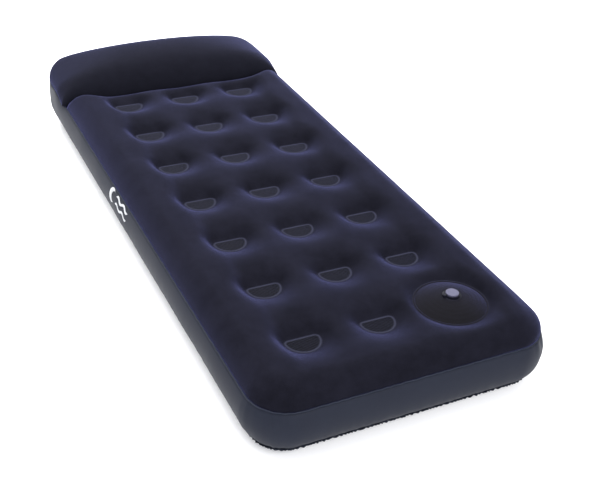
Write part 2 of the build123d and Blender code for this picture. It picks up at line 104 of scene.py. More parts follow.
# weld spots: one over each coil beam
BEAMS = sorted(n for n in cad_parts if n.startswith("coil_beam_"))
WELD_Z = 0.152
WELD_FLAT_Y = 0.022  # the flat side, towards the head
WELD_ARC_Y = 0.013
WELD_ARC_RADIUS = 0.041
WELD_CORNER = 0.008
BEAM_CENTRE_SHIFT = 0.003  # the beam's box is this far off the weld's centre
WELLS = []
for name in BEAMS:
    low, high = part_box(name)
    WELLS.append(((low.x + high.x) / 2, (low.y + high.y) / 2 + BEAM_CENTRE_SHIFT))
WELL_CLEARANCE = 0.002  # the underside's wells stop this far below the CAD ones
BOTTOM_WELL_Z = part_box("bottom_sheet")[1].z - WELL_CLEARANCE


# ---------------------------------------------------------------- mesh helpers
def new_object(name, verts, faces, smooth=True):
    mesh = bpy.data.meshes.new(name)
    mesh.from_pydata([tuple(v) for v in verts], [], [tuple(f) for f in faces])
    mesh.validate()
    mesh.update()
    piece = bpy.data.objects.new(name, mesh)
    bpy.context.scene.collection.objects.link(piece)
    if smooth:
        mesh.shade_smooth()
    return piece


def used_only(verts, faces):
    """The same mesh without the vertices that no face uses."""
    used = sorted({i for f in faces for i in f})
    renumber = {old: new for new, old in enumerate(used)}
    return [verts[i] for i in used], [tuple(renumber[i] for i in f) for f in faces]


def add_attribute(piece, name, values):
    layer = piece.data.attributes.new(name, "FLOAT", "POINT")
    layer.data.foreach_set("value", np.asarray(values, np.float32))


def coordinates(piece):
    flat = np.empty(len(piece.data.vertices) * 3)
    piece.data.vertices.foreach_get("co", flat)
    return flat.reshape(-1, 3)


def loop_points(x_half, y_low, y_high, r_low, r_high, along=150, across=64, corner=16):
    """Points round a rectangle, anticlockwise from the low left corner. A corner of radius 0 is one point."""
    corners = [
        (-x_half + r_low, y_low + r_low, r_low, 180),
        (x_half - r_low, y_low + r_low, r_low, 270),
        (x_half - r_high, y_high - r_high, r_high, 0),
        (-x_half + r_high, y_high - r_high, r_high, 90),
    ]
    arcs = []
    for cx, cy, radius, start in corners:
        steps = corner if radius > 0 else 0
        turn = np.radians(start + 90 * np.arange(steps + 1) / max(steps, 1))
        arcs.append(np.column_stack([cx + radius * np.cos(turn), cy + radius * np.sin(turn)]))
    points = []
    for k, count in enumerate((across, along, across, along)):
        points.append(arcs[k])
        share = (np.arange(1, count) / count)[:, None]
        points.append(arcs[k][-1] * (1 - share) + arcs[(k + 1) % 4][0] * share)
    return np.vstack(points)


def casing_loop(inset, **counts):
    """The casing's outline drawn in by this much."""
    corner = CORNER - inset
    return loop_points(
        HALF_WIDTH - inset, -HALF_LENGTH + inset, HALF_LENGTH - inset, corner, corner, **counts
    )


def side_inset(z):
    """How far the rounded side lies inside the casing's widest line at this height."""
    return SIDE_RADIUS - math.sqrt(max(SIDE_RADIUS**2 - (SIDE_RADIUS - z) ** 2, 0))


def outward_of(points):
    """Unit plan vectors that point out of the casing, fanning out round its corners."""
    core = np.array((HALF_WIDTH - CORNER, HALF_LENGTH - CORNER))
    away = points - np.clip(points, -core, core)
    return away / np.maximum(np.hypot(away[:, 0], away[:, 1]), 1e-9)[:, None]


def depth_inside(x, ahead, half, end, radius):
    """Distance inside a strip of this half width whose end, at ahead = end, has rounded corners."""
    dx = np.abs(x) - (half - radius)
    dy = ahead - (end - radius)
    outside = np.hypot(np.maximum(dx, 0), np.maximum(dy, 0))
    return radius - (outside + np.minimum(np.maximum(dx, dy), 0))


def quads_between(first, second, count):
    """Quads joining two closed rings of vertices that start at these indices."""
    return [
        (first + i, first + (i + 1) % count, second + (i + 1) % count, second + i)
        for i in range(count)
    ]


def weld_distance(x, y, centre):
    """Signed distance from a D-shaped weld: flat towards +Y, round towards -Y."""
    dx, dy = x - centre[0], y - centre[1]
    flat = dy - WELD_FLAT_Y + WELD_CORNER
    arc = np.hypot(dx, dy - WELD_ARC_Y) - WELD_ARC_RADIUS + WELD_CORNER
    inside = np.minimum(np.maximum(flat, arc), 0)
    return inside + np.hypot(np.maximum(flat, 0), np.maximum(arc, 0)) - WELD_CORNER


def weld_loop(centre, level, count):
    """Points of the curve at this distance from a weld's outline, found by halving."""
    turn = 2 * math.pi * np.arange(count) / count
    cx, cy = np.cos(turn), np.sin(turn)
    low, high = np.zeros(count), np.full(count, 0.09)
    middle = (centre[0], centre[1] - BEAM_CENTRE_SHIFT)
    for _ in range(30):
        reach = (low + high) / 2
        short = weld_distance(middle[0] + reach * cx, middle[1] + reach * cy, centre) < level
        low, high = np.where(short, reach, low), np.where(short, high, reach)
    return np.column_stack([middle[0] + high * cx, middle[1] + high * cy])


def circle_loop(centre, radius, count):
    turn = 2 * math.pi * np.arange(count) / count
    return np.column_stack([centre[0] + radius * np.cos(turn), centre[1] + radius * np.sin(turn)])


def hex_grid(x_half, y_low, y_high, step):
    rows = int((y_high - y_low) / (step * 0.866))
    points = []
    for r in range(rows + 1):
        y = y_low + r * (y_high - y_low) / rows
        xs = np.arange(-x_half + (r % 2) * step / 2, x_half, step)
        points.append(np.column_stack([xs, np.full(len(xs), y)]))
    return np.vstack(points)


def fill_plan(boundary, loops, grid):
    """Triangles over a convex plan. boundary and loops are edges to keep; returns points, triangles and the
    place of each boundary point."""
    points, edges = [boundary], []
    n = len(boundary)
    edges += [(i, (i + 1) % n) for i in range(n)]
    start = n
    for loop in loops:
        m = len(loop)
        points.append(loop)
        edges += [(start + i, start + (i + 1) % m) for i in range(m)]
        start += m
    points.append(grid)
    flat = [Vector((float(p[0]), float(p[1]))) for p in np.vstack(points)]
    out, _, faces, origin, _, _ = geometry.delaunay_2d_cdt(flat, edges, [], 0, 1e-7, True)
    place = {}
    for i, sources in enumerate(origin):
        for s in sources:
            if s < n:
                place[s] = i
    return np.array([(p.x, p.y) for p in out]), faces, place


def smooth_min(a, b, width):
    overlap = np.maximum(width - np.abs(a - b), 0) / width
    return np.minimum(a, b) - overlap * overlap * width / 4


def smooth_step(low, high, value):
    t = np.clip((value - low) / (high - low), 0, 1)
    return t * t * (3 - 2 * t)


def waves(x, y, scale, seed):
    """Slow uneven waves between about -1 and 1, the same on every run."""
    total = np.zeros_like(x)
    for k in range(6):
        angle = seed + 2.399 * k
        rate = (1 + 0.37 * k) / scale
        total += np.sin((x * math.cos(angle) + y * math.sin(angle)) * rate + 1.7 * seed * k + k)
    return total / 3.2


def ripple(place, rate, wander, wander_rate):
    """A sine whose spacing wanders along the way."""
    return np.sin(place * rate + wander * np.sin(place * wander_rate))


# ---------------------------------------------------------------- shapes of the inflated sheets
SHOULDER_RADIUS = 0.070
SHOULDER_START = math.radians(11)
SHOULDER_END = math.radians(62)  # where the rings stop and the even fill starts
SHOULDER_SWELL = 0.006  # the right-hand shoulder stands out this much further than its arc
SWELL_ACROSS = (0.10, 0.35)  # x over which that swelling comes in
PLATEAU_RISE = 0.008  # the plateau's height above the end of the shoulder's arc
PLATEAU_Z = SEAM_Z + SHOULDER_RADIUS * (1 - math.sin(SHOULDER_START)) + PLATEAU_RISE
CROWN_REACH = 0.060  # past the shoulder the sheet still climbs a little, over this distance
CROWN_SHARE = 0.27
CREASE_ROUNDING = 0.125  # in the middle of the crease
CREASE_END_ROUNDING = 0.045  # at its two ends, where the shoulders stay full
CREASE_ENDS = (0.24, 0.32)  # distance from the middle over which one turns into the other
CREASE_RISE = 0.003
SEAM_SOFTNESS = 0.008  # how softly two slopes run into each other
FOOT_SLACK = 0.09  # share by which the foot end is lower
FOOT_SLACK_REACH = (0.02, 0.17)  # distance from the foot seam over which that fades
DIMPLE_RISE = 0.057
DIMPLE_REACH = 0.080
FUNNEL_CORE = 0.031
FUNNEL_TURN = (0.004, 0.055)  # distance from a weld over which its funnel turns round
WELD_FILLET = 0.008
RIDGE_SOFTNESS = 0.024
SIDE_STEEPNESS = 1.4  # funnels are steeper towards the two sides
SIDE_STEEP_ACROSS = (0.222, 0.290)
FOOT_STEEPNESS = 0.2  # and a little towards the foot
FOOT_STEEP_ALONG = (0.76, 0.83)
PUMP_CUP_RISE = 0.030
PUMP_CUP_REACH = 0.040
CUP_STEEPNESS = 2.0  # the pump's cup is steeper towards the right side
CUP_STEEP_ACROSS = (0.265, 0.300)
SHEET_WAVE = 0.0006
SHEET_WAVE_SCALE = 0.05
LOOSE_ABOVE = (0.0, 0.03)  # height above the welds over which those waves come in
UNDERSIDE_REACH = 0.030
UNDERSIDE_CUT = 0.002  # taken off each funnel of the underside, so that it runs out on the floor
UNDERSIDE_SOFTNESS = 0.004


def seam_depth(x, y):
    """Distance inside the top seam's outline, leaving the crease out."""
    return depth_inside(x, -y, SEAM_HALF, -FOOT_SEAM_Y, CORNER - SEAM_INSET)


def shoulder(inset, radius, top):
    """Height of an arc that leaves the seam steeply and levels out."""
    turned = np.arccos(np.clip(math.cos(SHOULDER_START) - inset / radius, 0, 1))
    share = (np.sin(turned) - math.sin(SHOULDER_START)) / (1 - math.sin(SHOULDER_START))
    crown = 1 - np.exp(-np.maximum(inset, 0) / CROWN_REACH)
    return SEAM_Z + (top - SEAM_Z) * ((1 - CROWN_SHARE) * share + CROWN_SHARE * crown)


def funnel_distance(x, y, centre):
    """Distance from a weld whose curves turn from the D's outline to circles further out."""
    away = np.maximum(weld_distance(x, y, centre), 0)
    middle_y = centre[1] - BEAM_CENTRE_SHIFT
    radial = np.maximum(np.hypot(x - centre[0], y - middle_y) - FUNNEL_CORE, 0)
    turning = smooth_step(*FUNNEL_TURN, away)
    return away + (radial - away) * turning


def eased(away):
    """The same distance, but starting gently at the weld."""
    return np.sqrt(away * away + WELD_FILLET**2) - WELD_FILLET


def top_height(x, y):
    edge = shoulder(seam_depth(x, y), SHOULDER_RADIUS, PLATEAU_Z)
    end = smooth_step(*CREASE_ENDS, np.abs(x))
    rounding = CREASE_ROUNDING + (CREASE_END_ROUNDING - CREASE_ROUNDING) * end
    crease = shoulder(CREASE_LOW_Y - y, rounding, PLATEAU_Z + CREASE_RISE)
    z = smooth_min(edge, crease, SEAM_SOFTNESS)
    foot = 1 - smooth_step(*FOOT_SLACK_REACH, y - FOOT_SEAM_Y)
    z = SEAM_Z + (z - SEAM_Z) * (1 - FOOT_SLACK * foot)
    steepness = 1 + SIDE_STEEPNESS * smooth_step(*SIDE_STEEP_ACROSS, np.abs(x))
    steepness += FOOT_STEEPNESS * smooth_step(*FOOT_STEEP_ALONG, -y)
    for centre in WELLS:
        away = eased(funnel_distance(x, y, centre))
        rise = DIMPLE_RISE * (1 - np.exp(-away * steepness / DIMPLE_REACH))
        z = smooth_min(z, WELD_Z + rise, RIDGE_SOFTNESS)
    away = np.maximum(np.hypot(x - PUMP.x, y - PUMP.y) - PUMP_RADIUS, 0)
    away = eased(away * (1 + CUP_STEEPNESS * smooth_step(*CUP_STEEP_ACROSS, x)))
    cup = PUMP.z + PUMP_CUP_RISE * (1 - np.exp(-away / PUMP_CUP_REACH))
    z = smooth_min(z, cup, SEAM_SOFTNESS)
    loose = smooth_step(*LOOSE_ABOVE, z - WELD_Z)
    return z + SHEET_WAVE * waves(x, y, SHEET_WAVE_SCALE, 1.3) * loose


def bottom_height(x, y):
    z = np.zeros_like(x)
    for centre in WELLS:
        away = np.maximum(weld_distance(x, y, centre), 0)
        rise = BOTTOM_WELL_Z * np.exp(-(away / UNDERSIDE_REACH)) - UNDERSIDE_CUT
        z = -smooth_min(-z, -np.maximum(rise, 0), UNDERSIDE_SOFTNESS)
    return z


def sheet_piece(name, rings, loops, grid, height, hole=None):
    """A sheet lofted through rings and filled inside the last one by height(x, y).

    hole is a circle that is left open, as (x, y, radius).
    """
    count = len(rings[0])
    verts = [tuple(p) for ring in rings[:-1] for p in ring]
    faces = []
    for k in range(len(rings) - 2):
        faces += quads_between(k * count, (k + 1) * count, count)
    plan, triangles, place = fill_plan(rings[-1][:, :2], loops, grid)
    z = height(plan[:, 0], plan[:, 1])
    base = len(verts)
    for i, ring_z in enumerate(rings[-1][:, 2]):
        z[place[i]] = ring_z
    verts += [(plan[i, 0], plan[i, 1], z[i]) for i in range(len(plan))]
    outer = (len(rings) - 2) * count
    for i in range(count):
        j = (i + 1) % count
        faces.append((outer + i, outer + j, base + place[j], base + place[i]))
    for f in triangles:
        middle = plan[list(f)].mean(axis=0)
        if hole is None or math.hypot(middle[0] - hole[0], middle[1] - hole[1]) > hole[2]:
            faces.append(tuple(base + i for i in f))
    return new_object(name, *used_only(verts, faces))


# ---------------------------------------------------------------- top sheet
TOP_RINGS = 10
TOP_GRID_INSET = 0.036
TOP_GRID_STEP = 0.0085
TOP_WELD_LEVELS = (-0.016, -0.009, -0.004, -0.0015, 0, 0.0015, 0.004, 0.008, 0.0125)
PUMP_LEVELS = (0, 0.0015, 0.004, 0.009)
RING_GAP, PUMP_GAP = 0.004, 0.012  # the even fill stays this far from the last ring and the pump
WELD_GAP_INSIDE, WELD_GAP_OUTSIDE = -0.019, 0.0165  # and keeps out of this range round a weld


def ring_inset(turned):
    return SHOULDER_RADIUS * (math.cos(SHOULDER_START) - math.cos(turned))


def top_outline(inset):
    """The top sheet's outline drawn in by this much, square at the crease."""
    return loop_points(
        SEAM_HALF - inset,
        FOOT_SEAM_Y + inset,
        CREASE_LOW_Y - inset,
        CORNER - SEAM_INSET - inset,
        0,
    )


rings = []
for k, turned in enumerate(np.linspace(SHOULDER_START, SHOULDER_END, TOP_RINGS)):
    swell = SHOULDER_SWELL * math.sin(math.pi * k / (TOP_RINGS - 1))
    loop, swollen = top_outline(ring_inset(turned)), top_outline(ring_inset(turned) - swell)
    z = top_height(loop[:, 0], loop[:, 1])
    share = smooth_step(*SWELL_ACROSS, loop[:, 0])[:, None]
    rings.append(np.column_stack([loop + (swollen - loop) * share, z]))
rings[0][:, 2] = SEAM_Z

loops = [weld_loop(c, level, 60) for c in WELLS for level in TOP_WELD_LEVELS]
loops += [circle_loop(PUMP, PUMP_RADIUS + r, 90) for r in PUMP_LEVELS]
grid = hex_grid(
    SEAM_HALF - TOP_GRID_INSET,
    FOOT_SEAM_Y + TOP_GRID_INSET,
    CREASE_LOW_Y - TOP_GRID_INSET,
    TOP_GRID_STEP,
)
clear = np.minimum(seam_depth(grid[:, 0], grid[:, 1]), CREASE_LOW_Y - grid[:, 1])
keep = clear - ring_inset(SHOULDER_END) > RING_GAP
keep &= np.hypot(grid[:, 0] - PUMP.x, grid[:, 1] - PUMP.y) > PUMP_RADIUS + PUMP_GAP
for centre in WELLS:
    near = weld_distance(grid[:, 0], grid[:, 1], centre)
    keep &= (near > WELD_GAP_OUTSIDE) | (near < WELD_GAP_INSIDE)
top = sheet_piece("sleeping_surface", rings, loops, grid[keep], top_height, (PUMP.x, PUMP.y, PUMP_RADIUS))


FACET_FADE = 0.0016  # the pressed face begins over this distance inside a weld's outline
LINE_HALF, LINE_FADE = 0.0006, 0.0026  # half width of the line round a weld, and where it has faded
PUMP_LINE_FADE = 0.003


def weld_marks(piece):
    """Weld attributes: facet is 1 on a weld's face, line is 1 along its outline and the pump's, where the
    sheet gets a small ridge and a painted highlight.
    """
    co = coordinates(piece)
    nearest = np.full(len(co), 1.0)
    for centre in WELLS:
        away = weld_distance(co[:, 0], co[:, 1], centre)
        nearest = np.where(np.abs(away) < np.abs(nearest), away, nearest)
    facet = 1 - smooth_step(-FACET_FADE, 0.0, nearest)
    line = 1 - smooth_step(LINE_HALF, LINE_FADE, np.abs(nearest))
    pump_away = np.abs(np.hypot(co[:, 0] - PUMP.x, co[:, 1] - PUMP.y) - PUMP_RADIUS)
    line = np.maximum(line, 1 - smooth_step(0.0, PUMP_LINE_FADE, pump_away))
    add_attribute(piece, "facet", facet)
    add_attribute(piece, "line", line)


weld_marks(top)

# ---------------------------------------------------------------- pillow
PILLOW_SEAM_Z = 0.152
PILLOW_SEAM_INSET = 0.004
PILLOW_WIDEST_Z = 0.156
PILLOW_TOP_Z = 0.2530
PILLOW_INSET = 0.002
PILLOW_SIDE = 0.362  # it arches up over these lengths from its sides,
PILLOW_REAR = 0.095  # from its rear,
PILLOW_FRONT = 0.165  # from the crease
PILLOW_EDGE = 0.04  # and from its whole outline
PILLOW_BLEND = 5.0  # how closely the four arches keep to the lowest of them
PILLOW_RINGS = (0.0004, 0.0016, 0.0036, 0.0064, 0.010, 0.0144, 0.020, 0.027)
PILLOW_GRID_FRONT = 0.03
PILLOW_GRID_STEP = 0.009
PILLOW_GRID_GAP = 0.032  # the even fill stays this far inside the outline
RAISED_FROM, RAISED_TO = 0.002, 0.095  # past the crease, where the band climbs to the pillow's seam
WIDEST_FROM, WIDEST_TO = -0.01, 0.075  # the same, where its widest line climbs
PILLOW_HALF = HALF_WIDTH - PILLOW_INSET
PILLOW_BACK = HALF_LENGTH - PILLOW_INSET


def raised(y):
    """0 along the sleeping surface, 1 along the pillow, where the band is taller and its seam higher."""
    return smooth_step(CREASE_HIGH_Y + RAISED_FROM, CREASE_HIGH_Y + RAISED_TO, y)


def pillow_depth(x, y):
    return depth_inside(x, y, PILLOW_HALF, PILLOW_BACK, CORNER)


def seam_outline(inset):
    """The casing's outline at the pillow, drawn in by this much except at the crease."""
    half, back = HALF_WIDTH - inset, HALF_LENGTH - inset
    return loop_points(half, CREASE_HIGH_Y, back, 0, CORNER - inset, along=48)


def arch(depth, radius):
    t = np.clip(depth / radius, 1e-6, 1)
    return np.sqrt(1 - (1 - t) ** 2)


def pillow_height(x, y):
    arches = (
        (PILLOW_HALF - np.abs(x), PILLOW_SIDE),
        (PILLOW_BACK - y, PILLOW_REAR),
        (y - CREASE_HIGH_Y, PILLOW_FRONT),
        (pillow_depth(x, y), PILLOW_EDGE),
    )
    total = sum(arch(depth, radius) ** -PILLOW_BLEND for depth, radius in arches)
    share = (total - (len(arches) - 1)) ** (-1 / PILLOW_BLEND)
    climb = smooth_step(WIDEST_FROM, WIDEST_TO, y - CREASE_HIGH_Y)
    base = SEAM_Z + (PILLOW_WIDEST_Z - SEAM_Z) * climb
    return base + (PILLOW_TOP_Z - base) * share


low_seam = seam_outline(SEAM_INSET)
high_seam = seam_outline(PILLOW_SEAM_INSET)
lift = raised(low_seam[:, 1])
seam_line = low_seam + (high_seam - low_seam) * lift[:, None]
pillow_rings = [np.column_stack([seam_line, SEAM_Z + (PILLOW_SEAM_Z - SEAM_Z) * lift])]
for inset in PILLOW_RINGS:
    loop = loop_points(
        PILLOW_HALF - inset, CREASE_HIGH_Y + inset, PILLOW_BACK - inset, 0, CORNER - inset, along=48
    )
    pillow_rings.append(np.column_stack([loop, pillow_height(loop[:, 0], loop[:, 1])]))
grid = hex_grid(
    PILLOW_HALF - PILLOW_RINGS[-1],
    CREASE_HIGH_Y + PILLOW_GRID_FRONT,
    PILLOW_BACK - PILLOW_RINGS[-1],
    PILLOW_GRID_STEP,
)
clear = np.minimum(pillow_depth(grid[:, 0], grid[:, 1]), grid[:, 1] - CREASE_HIGH_Y)
pillow = sheet_piece("pillow", pillow_rings, [], grid[clear > PILLOW_GRID_GAP], pillow_height)


# ---------------------------------------------------------------- side band
BAND_COUNTS = {"along": 180, "across": 72, "corner": 26}
BAND_RINGS = 19
CORNER_FULL = 0.0045  # product of the two distances into a corner at which its puckers are full
SEAM_PUCKER, LIP_PUCKER = 0.0030, 0.0026  # depth of the corner puckers at the upper and lower seam
LIP_RIPPLE = 0.0007
BAND_WAVE, BAND_WAVE_SCALE = 0.0006, 0.06
SEAM_FADE = 12  # they all fade out over a twelfth of the band's height at each seam
VALVE_PATCH = 0.036  # half side of the square that is meshed anew round the valve
VALVE_LIP, VALVE_FILL = 0.026, 0.031  # radii of the further circles in that square


def corner_share(points):
    """1 in the middle of a rounded corner, 0 on the straight sides."""
    dx = np.maximum(np.abs(points[:, 0]) - (HALF_WIDTH - CORNER), 0)
    dy = np.maximum(np.abs(points[:, 1]) - (HALF_LENGTH - CORNER), 0)
    return np.clip(dx * dy / CORNER_FULL, 0, 1)


def raise_band(points):
    """Stretches the band's upper half up and outward beside the pillow."""
    share = raised(points[:, 1]) * np.clip((points[:, 2] - SIDE_RADIUS) / (SEAM_Z - SIDE_RADIUS), 0, 1)
    lifted = points.copy()
    outward = outward_of(points[:, :2])
    lifted[:, :2] += outward * ((SEAM_INSET - PILLOW_SEAM_INSET) * share**1.5)[:, None]
    lifted[:, 2] += (PILLOW_SEAM_Z - SEAM_Z) * share
    return lifted


def band_ring(z):
    loop = casing_loop(side_inset(z), **BAND_COUNTS)
    return np.column_stack([loop, np.full(len(loop), z)])


def boundary_of(quads):
    """The outer edge of a block of quads as one ordered loop of vertices."""
    edges = {}
    for q in quads:
        for i in range(4):
            edges[(q[i], q[(i + 1) % 4])] = True
    outer = {a: b for (a, b) in edges if (b, a) not in edges}
    start = next(iter(outer))
    order = [start]
    while outer[order[-1]] != start:
        order.append(outer[order[-1]])
    return order


low_angle = math.asin((LIP_Z - SIDE_RADIUS) / SIDE_RADIUS)
high_angle = math.asin((SEAM_Z - SIDE_RADIUS) / SIDE_RADIUS)
levels = SIDE_RADIUS + SIDE_RADIUS * np.sin(np.linspace(low_angle, high_angle, BAND_RINGS))
band_rings = [band_ring(z) for z in levels]
ring_count = len(band_rings[0])
verts = raise_band(np.vstack(band_rings))
steps = np.hypot(*np.diff(band_rings[BAND_RINGS // 2][:, :2], axis=0).T)
arc_place = np.tile(np.concatenate([[0], np.cumsum(steps)]), BAND_RINGS)
height_share = np.repeat(np.linspace(0, 1, BAND_RINGS), ring_count)
pucker = ripple(arc_place, 260, 2, 61) * np.sin(arc_place * 37 + 1)
fold = SEAM_PUCKER * height_share**4 + LIP_PUCKER * (1 - height_share) ** 3
depth = corner_share(verts) * fold * pucker
depth += LIP_RIPPLE * (1 - height_share) ** 2 * ripple(arc_place, 190, 3, 23)
depth += BAND_WAVE * waves(arc_place, verts[:, 2], BAND_WAVE_SCALE, 2.1) * np.sin(math.pi * height_share)
fade = np.minimum(1, np.minimum(height_share, 1 - height_share) * SEAM_FADE)
verts[:, :2] += outward_of(verts[:, :2]) * (depth * fade)[:, None]
faces = []
valve_patch = []
for k in range(BAND_RINGS - 1):
    for q in quads_between(k * ring_count, (k + 1) * ring_count, ring_count):
        x, y, z = verts[list(q)].mean(axis=0)
        near = abs(y - VALVE.y) < VALVE_PATCH and x > 0 and abs(z - VALVE.z) < VALVE_PATCH
        (valve_patch if near else faces).append(q)

valve_place = (VALVE.y, VALVE.z)
edge = boundary_of(valve_patch)
flat_edge = np.column_stack([verts[edge, 1], verts[edge, 2]])
hole_loops = [circle_loop(valve_place, r, 40) for r in (VALVE_HOLE, VALVE_LIP)]
plan, triangles, place = fill_plan(flat_edge, hole_loops, circle_loop(valve_place, VALVE_FILL, 30))
band_verts = [tuple(v) for v in verts]
patch_index = {place[i]: edge[i] for i in range(len(edge))}
for i, (y, z) in enumerate(plan):
    if i not in patch_index:
        patch_index[i] = len(band_verts)
        band_verts.append((HALF_WIDTH - side_inset(z), y, z))
for f in triangles:
    middle = plan[list(f)].mean(axis=0)
    if math.hypot(middle[0] - VALVE.y, middle[1] - VALVE.z) > VALVE_HOLE:
        faces.append(tuple(patch_index[i] for i in f))
band = new_object("side_band", *used_only(band_verts, faces))

# ---------------------------------------------------------------- printed moon and waves, on the left
MARK_Y = 0.062
MARK_LIFT = 0.0006
WAVE_STEPS, WAVE_CRESTS = 40, 2
WAVE_START, WAVE_LENGTH = -0.018, 0.100
WAVE_UP, WAVE_DROP = 0.036, 0.021  # height of the upper wave, and how far the other lies below it
WAVE_SWING = 0.0040
WAVE_HALF = 0.0034
MOON_STEPS = 28
MOON_UP = 0.025
MOON_OUTER = (-0.052, 0.021, 50, 260)  # each arc: place along, radius, first angle and sweep
MOON_INNER = (-0.0390, 0.0155, 72, 216)


def on_band(along, up):
    """A point a little proud of the left band: along the casing towards the foot, and up round the band."""
    turned = up / SIDE_RADIUS
    reach = SIDE_RADIUS + MARK_LIFT
    return (
        -(HALF_WIDTH - SIDE_RADIUS) - reach * math.cos(turned),
        MARK_Y - along,
        SIDE_RADIUS + reach * math.sin(turned),
    )


def strip_quads(start, count):
    """Quads of a strip of vertices, three across and count along, that starts at this index."""
    quads = []
    for i in range(1, count):
        a = start + 3 * i
        quads += [(a - 3 + k, a - 2 + k, a + 1 + k, a + k) for k in (0, 1)]
    return quads


def ribbon(path, half):
    """Vertices, three across, along a path of (along, up) points; its ends are rounded off."""
    verts = []
    count = len(path)
    for i, (a, u) in enumerate(path):
        before, after = path[max(i - 1, 0)], path[min(i + 1, count - 1)]
        da, du = after[0] - before[0], after[1] - before[1]
        size = math.hypot(da, du)
        width = half * min(1, math.sin(math.pi * (i + 0.6) / (count + 0.2)) * 3.5)
        for side in (-1, 0, 1):
            verts.append(on_band(a - side * width * du / size, u + side * width * da / size))
    return verts


def moon_point(arc, share):
    along, radius, first, sweep = arc
    turned = math.radians(first + sweep * share)
    return along + radius * math.cos(turned), MOON_UP + radius * math.sin(turned)


mark_verts, mark_faces = [], []
for k in range(2):
    path = []
    for i in range(WAVE_STEPS + 1):
        swing = WAVE_SWING * math.sin(2 * math.pi * WAVE_CRESTS * i / WAVE_STEPS)
        path.append((WAVE_START + WAVE_LENGTH * i / WAVE_STEPS, WAVE_UP - WAVE_DROP * k + swing))
    mark_faces += strip_quads(len(mark_verts), len(path))
    mark_verts += ribbon(path, WAVE_HALF)
mark_faces += strip_quads(len(mark_verts), MOON_STEPS + 1)
for i in range(MOON_STEPS + 1):
    (a0, u0), (a1, u1) = (moon_point(arc, i / MOON_STEPS) for arc in (MOON_OUTER, MOON_INNER))
    mark_verts += [on_band(a0 + (a1 - a0) * share, u0 + (u1 - u0) * share) for share in (0, 0.5, 1)]
mark = new_object("printed_moon_and_waves", mark_verts, mark_faces)

# ---------------------------------------------------------------- seams
LIP_COUNTS = {"along": 560, "across": 220, "corner": 52}
LIP_LAYERS = ((0, 0.0014), (0.4, 0.0012), (0.75, 0.0010), (1, 0.0007))  # share of its reach, thickness
LIP_LAP = 0.001  # it starts this far inside the band
LIP_DROOP = 0.0006
BEAD_COUNTS = {"along": 360, "across": 150, "corner": 40}
BEAD_HALF_WIDTH, BEAD_HALF_HEIGHT = 0.0016, 0.0013
BEAD_OUT = 0.0007
CREASE_WELD_STEPS, CREASE_WELD_SIDES = 220, 12
CREASE_WELD_HALF = 0.0036
CREASE_WELD_DROP = 0.0010


def strip_piece(name, profile, counts):
    """A closed strip round the casing. profile(turn) gives a list of (inset, z) rows."""
    base = casing_loop(0, **counts)
    place = np.concatenate([[0], np.cumsum(np.hypot(*np.diff(base, axis=0).T))])
    total = place[-1] + np.hypot(*(base[0] - base[-1]))
    outward = outward_of(base)
    rows = profile(place / total * 2 * math.pi)
    count = len(base)
    verts, faces = [], []
    for k, (inset, z) in enumerate(rows):
        plan = base - outward * np.broadcast_to(inset, (count,))[:, None]
        verts.append(np.column_stack([plan, np.broadcast_to(z, (count,))]))
        faces += quads_between(k * count, (k + 1) % len(rows) * count, count)
    return new_object(name, np.vstack(verts), faces)


def crinkled_lip(turn):
    """The ragged weld lip: pleated up and down, with an uneven outer edge."""
    slow = ripple(turn, 97, 2.2, 31) * (0.6 + 0.4 * np.sin(turn * 17 + 1))
    fast = ripple(turn, 341, 3.0, 53) * (0.5 + 0.5 * np.sin(turn * 23 + 2))
    tooth = np.abs(ripple(turn, 233, 1.6, 71))
    lift = 0.0026 * slow + 0.0015 * fast
    reach = 0.0052 + 0.0034 * tooth + 0.0022 * slow
    inner = side_inset(LIP_Z) + LIP_LAP
    rows = []
    for side, layers in ((-1, LIP_LAYERS), (1, LIP_LAYERS[::-1])):
        for share, thick in layers:
            z = LIP_Z + lift * share**1.2 - LIP_DROOP * share + side * thick / 2
            rows.append((inner - reach * share, z))
    return rows


def top_bead(turn):
    """The narrow welded edge where the flocked sheets meet the band. Its vinyl is a little lighter than the
    band's: a painted highlight along the seam.
    """
    wobble = 0.0003 * ripple(turn, 160, 2, 41)
    rows = []
    for degrees in range(-150, 131, 40):
        swing = math.radians(degrees)
        inset = SEAM_INSET - BEAD_OUT - BEAD_HALF_WIDTH * math.cos(swing) + wobble
        rows.append((inset, SEAM_Z + BEAD_HALF_HEIGHT * math.sin(swing) + wobble))
    return rows


lip = strip_piece("bottom_seam_lip", crinkled_lip, LIP_COUNTS)
bead = strip_piece("top_seam_weld", top_bead, BEAD_COUNTS)
bead_co = coordinates(bead)
at_seam = bead_co.copy()
at_seam[:, 2] = SEAM_Z
bead_co += raise_band(at_seam) - at_seam
bead.data.vertices.foreach_set("co", bead_co.ravel())
bead.data.update()

crease_middle = (CREASE_LOW_Y + CREASE_HIGH_Y) / 2
weld_verts, weld_faces = [], []
for i in range(CREASE_WELD_STEPS + 1):
    x = SEAM_HALF * (2 * i / CREASE_WELD_STEPS - 1)
    sway = 0.0005 * math.sin(x * 55 + 2 * math.sin(x * 17))
    half_height = 0.0018 + 0.0003 * math.sin(x * 410)
    for k in range(CREASE_WELD_SIDES):
        swing = 2 * math.pi * k / CREASE_WELD_SIDES
        y = crease_middle + sway + CREASE_WELD_HALF * math.cos(swing)
        weld_verts.append((x, y, SEAM_Z - CREASE_WELD_DROP + half_height * math.sin(swing)))
    if i:
        first = (i - 1) * CREASE_WELD_SIDES
        weld_faces += quads_between(first, first + CREASE_WELD_SIDES, CREASE_WELD_SIDES)
weld_faces.append(tuple(reversed(range(CREASE_WELD_SIDES))))
weld_faces.append(tuple(CREASE_WELD_STEPS * CREASE_WELD_SIDES + k for k in range(CREASE_WELD_SIDES)))
crease_weld = new_object("crease_weld", weld_verts, weld_faces)

